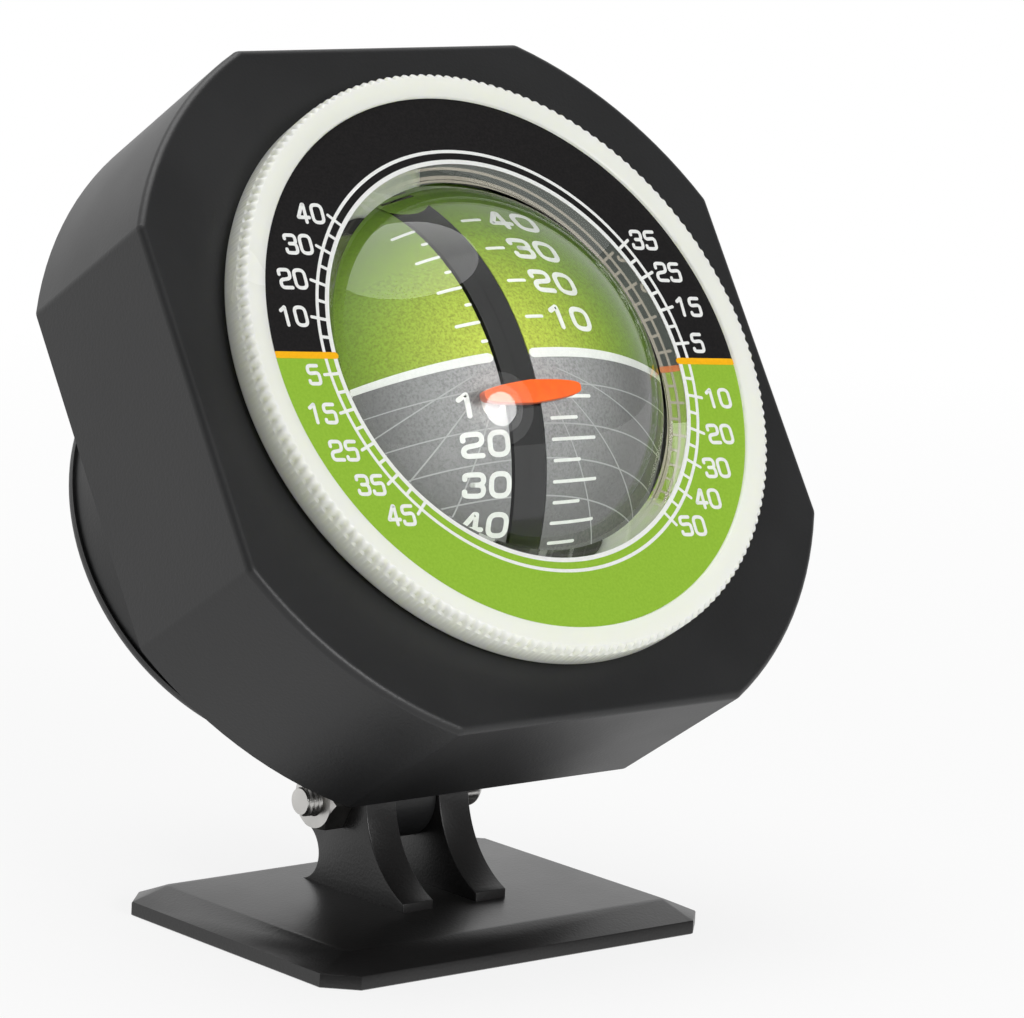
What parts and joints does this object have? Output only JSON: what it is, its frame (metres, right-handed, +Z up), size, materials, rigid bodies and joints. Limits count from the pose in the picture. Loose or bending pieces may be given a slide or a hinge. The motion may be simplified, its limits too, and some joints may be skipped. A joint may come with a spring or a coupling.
{
  "type": "ball inclinometer",
  "caption": "Dash-top inclinometer with a liquid-filled dome, pitch ball, turning roll dial and a tilting bracket on a flat bevelled base.",
  "frame": {"origin": "centre of the base bracket's underside", "axes": "+Z up from the surface it stands on, the dial faces -Y and leans back 33 degrees, +X to the right of someone who reads the dial"},
  "size_m": [0.088, 0.0827, 0.1061],
  "materials": {
    "stand_plastic": "black moulded plastic, fine satin texture",
    "housing_plastic": "black moulded plastic, fine satin texture",
    "steel": "zinc-plated steel",
    "black_steel": "black oxide, semi-gloss",
    "brass": "turned brass",
    "foam_tape": "dense black foam with an adhesive face",
    "seal_rubber": "moulded rubber",
    "glow_plastic": "pale glow-in-the-dark plastic, glossy",
    "dial_print": "clear plate printed on its front, green and black with white figures",
    "clear_plastic": "clear moulded acrylic",
    "carrier_plastic": "black glossy plastic",
    "pointer_orange": "fluorescent orange plastic",
    "ball_print": "printed shell, green above and grey below with white figures",
    "weight_metal": "dull grey metal",
    "cell_steel": "bright nickel-plated can",
    "contact_metal": "stamped spring brass",
    "lamp_resin": "milky lamp resin",
    "switch_plastic": "black switch body",
    "button_plastic": "black button, polished by use"
  },
  "bodies": {
    "base": {"base_bracket": "stand_plastic", "adhesive_pad": "foam_tape", "hinge_bolt": "steel", "hinge_nut": "steel"},
    "head": {"front_housing": "housing_plastic", "rear_cover": "housing_plastic", "cover_screws": "black_steel", "vent_cap": "housing_plastic", "lamp_lid": "housing_plastic", "lid_screw": "steel", "button_cells": "cell_steel", "contact_strip": "contact_metal", "contact_tabs": "contact_metal", "lamp": "lamp_resin", "light_switch": "switch_plastic", "dome_lens": "clear_plastic", "capsule_bowl": "clear_plastic", "capsule_seal": "seal_rubber", "capsule_clamp": "carrier_plastic", "clamp_screws": "black_steel", "diaphragm": "seal_rubber", "roll_bearing": "brass"},
    "bezel": {"bezel_ring": "glow_plastic", "bezel_retainer": "steel", "dial_plate": "dial_print"},
    "roll": {"roll_carrier": "carrier_plastic", "roll_weight": "weight_metal", "roll_shaft": "steel", "pointer": "pointer_orange"},
    "ball": {"ball_left": "ball_print", "ball_right": "ball_print", "ball_weights": "weight_metal", "pitch_axle": "steel"},
    "button": {"switch_button": "button_plastic"}
  },
  "joints": [
    {"name": "base_tilt", "type": "hinge", "parent": "base", "child": "head", "pos_m": [0, 0.0071, 0.015], "axis": [-1, 0, 0], "range_deg": [-38, 52]},
    {"name": "bezel_turn", "type": "hinge", "parent": "head", "child": "bezel", "pos_m": [0, -0.00934, 0.06955], "axis": [0, 0.8387, -0.5446], "continuous": true},
    {"name": "roll_swing", "type": "hinge", "parent": "head", "child": "roll", "pos_m": [0, -0.00934, 0.06955], "axis": [0, 0.8387, -0.5446], "continuous": true},
    {"name": "pitch_swing", "type": "hinge", "parent": "roll", "child": "ball", "pos_m": [0, 0.01037, 0.05675], "axis": [1, 0, 0], "range_deg": [-50, 50]},
    {"name": "light_push", "type": "slide", "parent": "head", "child": "button", "axis": [1, 0, 0], "range_m": [0, 0.0008], "stiffness_N_per_m": 400}
  ]
}
